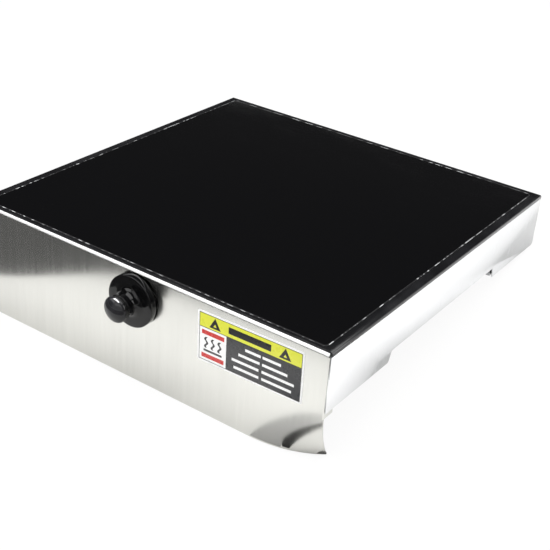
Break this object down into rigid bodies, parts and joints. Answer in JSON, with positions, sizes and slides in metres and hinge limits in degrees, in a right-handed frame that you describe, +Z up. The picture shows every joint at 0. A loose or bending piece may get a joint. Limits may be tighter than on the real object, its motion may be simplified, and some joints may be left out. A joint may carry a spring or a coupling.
{
  "type": "hot plate burner",
  "caption": "Square countertop hot plate with a flush black glass-ceramic top, a stainless front apron that hangs over the counter edge and a turning control knob.",
  "frame": {"origin": "centre of the glass's cooking surface, in its plane", "axes": "+Z up out of the cooking surface, +X to the right of a user who faces the knob, +Y away from that user; the feet's plane is 57.2 mm below the origin"},
  "size_m": [0.4, 0.452, 0.1143],
  "materials": {
    "black_glass": "polished black glass-ceramic",
    "sealant": "high-temperature silicone",
    "gasket_tape": "woven glass tape",
    "black_enamel": "gloss black enamel on steel",
    "polished_steel": "bright stainless edge",
    "brushed_apron": "stainless, fine upright grain",
    "side_steel": "stainless, fine grain",
    "base_steel": "dull aluminised steel",
    "zinc_steel": "zinc-plated steel",
    "brass": "turned brass",
    "knob_plastic": "gloss black phenolic",
    "moulded_plastic": "phenolic moulding",
    "insulation": "pressed ceramic fibre",
    "heater_alloy": "oxidised resistance ribbon",
    "steatite": "unglazed steatite",
    "gland_nylon": "moulded nylon",
    "lead_sleeve": "glass-braid sleeve",
    "earth_sleeve": "green braid sleeve",
    "label_film": "printed film"
  },
  "bodies": {
    "housing": {"glass_top": "black_glass", "glass_seal": "sealant", "glass_gasket": "gasket_tape", "top_frame": "black_enamel", "front_trim": "polished_steel", "apron": "brushed_apron", "left_side_panel": "side_steel", "right_side_panel": "side_steel", "base_pan": "base_steel", "rear_panel": "side_steel", "regulator_bush": "zinc_steel", "lock_washer": "zinc_steel", "panel_nut": "zinc_steel", "regulator_bracket": "zinc_steel", "regulator_case": "moulded_plastic", "regulator_cover": "moulded_plastic", "contact_blade": "brass", "bimetal_blade": "zinc_steel", "regulator_terminals": "brass", "bracket_screws": "zinc_steel", "element_dish": "zinc_steel", "element_insulation": "insulation", "heating_ribbon": "heater_alloy", "limiter_rod": "zinc_steel", "limiter_head": "steatite", "element_terminals": "steatite", "element_bar_left": "zinc_steel", "element_bar_right": "zinc_steel", "hold_up_springs": "zinc_steel", "element_posts": "zinc_steel", "heat_shield": "base_steel", "post_screws": "zinc_steel", "bar_screws": "zinc_steel", "cord_gland": "gland_nylon", "gland_lock_nut": "gland_nylon", "gland_cap_nut": "gland_nylon", "terminal_block": "steatite", "terminal_screws": "brass", "earth_stud": "brass", "earth_nut": "brass", "line_lead": "lead_sleeve", "neutral_lead": "lead_sleeve", "element_lead_left": "lead_sleeve", "element_lead_right": "lead_sleeve", "earth_lead": "earth_sleeve", "front_label": "label_film", "apron_studs": "zinc_steel", "apron_nuts": "zinc_steel", "rear_screws": "zinc_steel", "base_screws": "zinc_steel"},
    "knob": {"knob_body": "knob_plastic", "knob_cap": "knob_plastic", "knob_insert": "brass", "control_shaft": "zinc_steel", "shaft_cam": "moulded_plastic"}
  },
  "joints": [
    {"name": "knob_turn", "type": "hinge", "parent": "housing", "child": "knob", "pos_m": [0, -0.1986, -0.0294], "axis": [0, 1, 0], "range_deg": [0, 280]}
  ]
}
